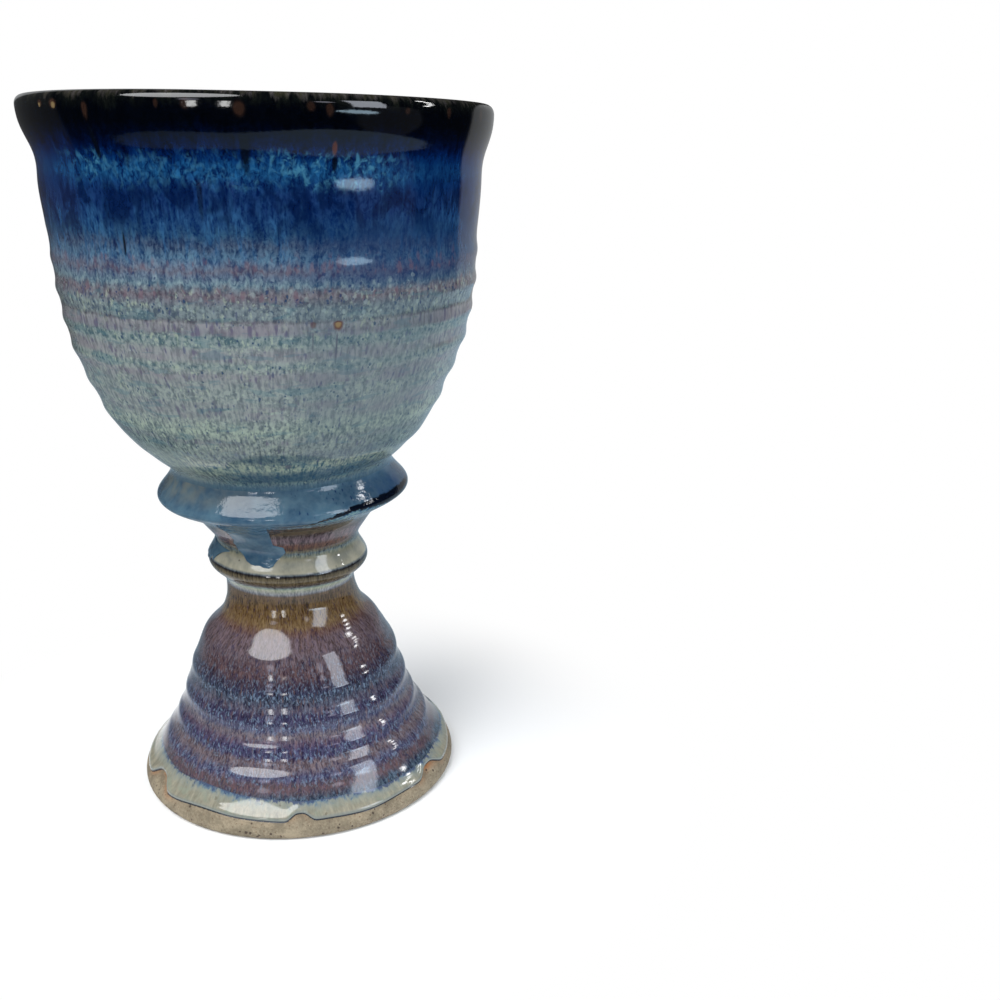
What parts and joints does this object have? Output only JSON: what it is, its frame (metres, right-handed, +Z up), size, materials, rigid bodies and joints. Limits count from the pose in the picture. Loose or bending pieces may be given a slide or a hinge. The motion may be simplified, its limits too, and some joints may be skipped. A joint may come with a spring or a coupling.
{
  "type": "chalice",
  "caption": "Hand-thrown stoneware chalice: deep glazed bowl on a hollow stem with a wide collar and a ring, flaring to a bell-shaped foot.",
  "frame": {"origin": "centre of the foot's flat ring, on the surface the chalice stands on", "axes": "+Z up along the chalice's axis of turning, from the foot to the bowl; -Y is the front, where the collar's glaze ran down over the stem"},
  "size_m": [0.1176, 0.1176, 0.19],
  "materials": {
    "bare_clay": "matte, sandy, with iron specks",
    "slip": "matte",
    "cream_glaze": "gloss",
    "mauve_glaze": "gloss, banded mauve and blue",
    "stem_glaze": "gloss, beige and brown",
    "slate_blue_glaze": "gloss",
    "blue_grey_glaze": "gloss, cobalt at the top running to grey green",
    "liner_glaze": "gloss, blue with a mauve and lavender spiral",
    "black_rim_glaze": "gloss"
  },
  "bodies": {
    "root": {"foot_bell": "bare_clay", "stem_spool": "bare_clay", "bowl_body": "bare_clay", "foot_slip_joint": "slip", "bowl_slip_joint": "slip", "foot_cream_glaze": "cream_glaze", "foot_glaze": "mauve_glaze", "stem_ring_glaze": "stem_glaze", "collar_glaze": "slate_blue_glaze", "collar_glaze_runs": "slate_blue_glaze", "bowl_outer_glaze": "blue_grey_glaze", "bowl_liner_glaze": "liner_glaze", "rim_glaze_cap": "black_rim_glaze"}
  },
  "joints": []
}
